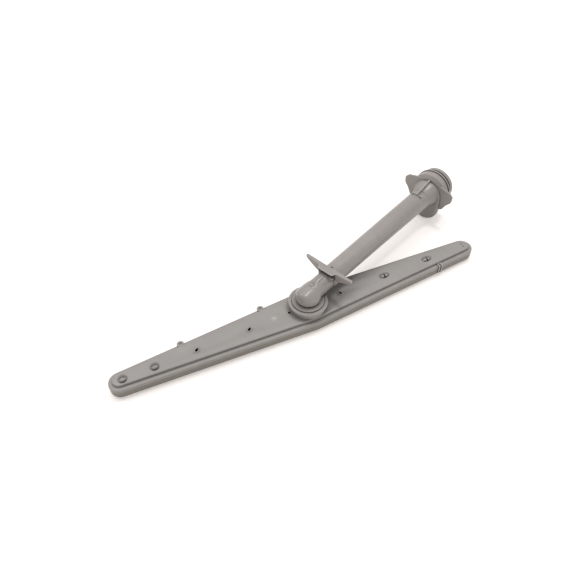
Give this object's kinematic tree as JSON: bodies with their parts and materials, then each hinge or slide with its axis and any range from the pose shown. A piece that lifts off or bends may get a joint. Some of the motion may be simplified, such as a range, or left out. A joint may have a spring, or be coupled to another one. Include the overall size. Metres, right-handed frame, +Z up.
{
  "type": "dishwasher spray arm",
  "caption": "Dishwasher spray arm: a long tapered hollow arm with spray jets that turns under the hub of a tubular feed conduit with a rack clip and a docking collar.",
  "frame": {"origin": "on the arm's turning axis, level with the arm's underside", "axes": "+Z up along the turning axis, +Y along the feed tube towards the docking collar, +X to the right of it"},
  "size_m": [0.1846, 0.4924, 0.0695],
  "materials": {
    "arm_lower_plastic": "satin warm grey",
    "arm_upper_plastic": "satin warm grey",
    "conduit_plastic": "satin warm grey",
    "bearing_plastic": "smooth natural white",
    "seal_rubber": "matt dark grey"
  },
  "bodies": {
    "conduit": {"feed_conduit": "conduit_plastic", "bearing_washer": "bearing_plastic", "retaining_ring": "bearing_plastic", "dock_seal": "seal_rubber"},
    "arm": {"arm_lower_shell": "arm_lower_plastic", "arm_upper_shell": "arm_upper_plastic"}
  },
  "joints": [
    {"name": "arm_spin", "type": "hinge", "parent": "conduit", "child": "arm", "pos_m": [0, 0, 0.018], "axis": [0, 0, 1], "continuous": true}
  ]
}
